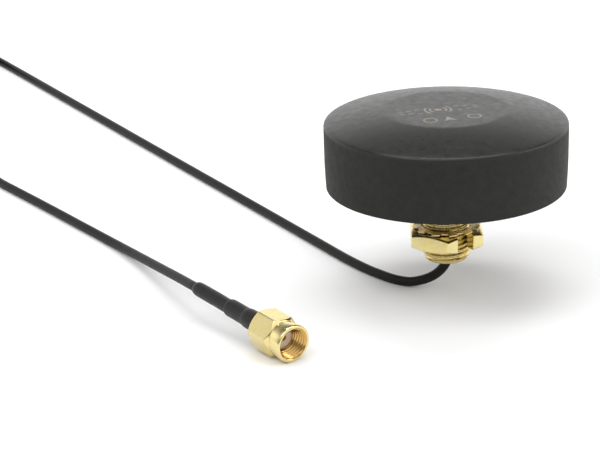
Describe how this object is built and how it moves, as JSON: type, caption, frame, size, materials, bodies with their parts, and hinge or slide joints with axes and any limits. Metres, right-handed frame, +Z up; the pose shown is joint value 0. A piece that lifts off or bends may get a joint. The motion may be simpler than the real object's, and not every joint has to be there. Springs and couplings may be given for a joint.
{
  "type": "gnss puck antenna",
  "caption": "Low round satellite-positioning antenna for a panel hole, with a hollow threaded stud, a slotted hex nut, a thin coaxial lead and a small threaded coaxial plug.",
  "frame": {"origin": "centre of the seat on the panel, on the axis of the threaded stud, in the plane of the gasket's underside", "axes": "+Z up towards the sky along the stud's axis, -Z through the panel; the lead lies towards -X and +Y, the plug towards -X and -Y"},
  "size_m": [0.1938, 0.2499, 0.0396],
  "materials": {
    "radome_plastic": "fine-grained moulded plastic, dark grey",
    "base_plastic": "moulded plastic, dark grey",
    "gasket_rubber": "soft black sheet",
    "seal_rubber": "black",
    "gold_brass": "gold-plated brass, bright turned surface",
    "washer_brass": "plated spring washer, slightly dull",
    "steel": "plated",
    "tin": "tinned sheet",
    "board_green": "solder-masked laminate",
    "ceramic": "fired ceramic, matt",
    "silver_film": "fired silver",
    "tape": "double-sided tape",
    "foam": "soft foam",
    "chip_black": "moulded package",
    "filter_shell": "metal lid",
    "cable_jacket": "black jacket, satin",
    "shrink_sleeve": "black shrink tubing, satin",
    "insulator": "fluoropolymer, off-white"
  },
  "bodies": {
    "antenna": {"radome": "radome_plastic", "base_plate": "base_plastic", "base_gasket": "gasket_rubber", "housing_seal": "seal_rubber", "stud_seal": "seal_rubber", "threaded_stud": "gold_brass", "flange_keeper": "steel", "lead_grommet": "seal_rubber", "circuit_board": "board_green", "board_screw_1": "steel", "board_screw_2": "steel", "board_screw_3": "steel", "patch_tape": "tape", "ceramic_patch": "ceramic", "patch_electrode": "silver_film", "feed_pin": "tin", "foam_pad": "foam", "shield_can": "tin", "amplifier_chip": "chip_black", "band_filter": "filter_shell", "inner_lead": "cable_jacket", "lead_core": "tin", "lead_clip": "tin", "plug_body": "gold_brass", "snap_ring": "washer_brass", "plug_gasket": "seal_rubber", "plug_insulator": "insulator", "plug_socket": "gold_brass", "crimp_ferrule": "gold_brass", "outer_sleeve": "shrink_sleeve", "inner_sleeve": "shrink_sleeve", "sleeved_lead": "cable_jacket", "lead_exit": "cable_jacket", "lead_run": "cable_jacket", "lead_coil": "cable_jacket", "coil_tie": "chip_black", "lead_tail": "cable_jacket"},
    "washer": {"lock_washer": "washer_brass"},
    "nut": {"panel_nut": "gold_brass"},
    "coupling": {"coupling_nut": "gold_brass"}
  },
  "joints": [
    {"name": "washer_slide", "type": "slide", "parent": "antenna", "child": "washer", "axis": [0, 0, 1], "range_m": [-0.0033, 0.0084]},
    {"name": "nut_turn", "type": "hinge", "parent": "washer", "child": "nut", "pos_m": [0, 0, -0.0112], "axis": [0, 0, 1], "range_deg": [-1170, 3000]},
    {"name": "coupling_spin", "type": "hinge", "parent": "antenna", "child": "coupling", "pos_m": [-0.03245, -0.03577, -0.01962], "axis": [0.6135, -0.7866, -0.0698], "continuous": true}
  ],
  "couplings": [
    {"joint": "washer_slide", "follows": "nut_turn", "m_per_rad": 0.00015915}
  ]
}
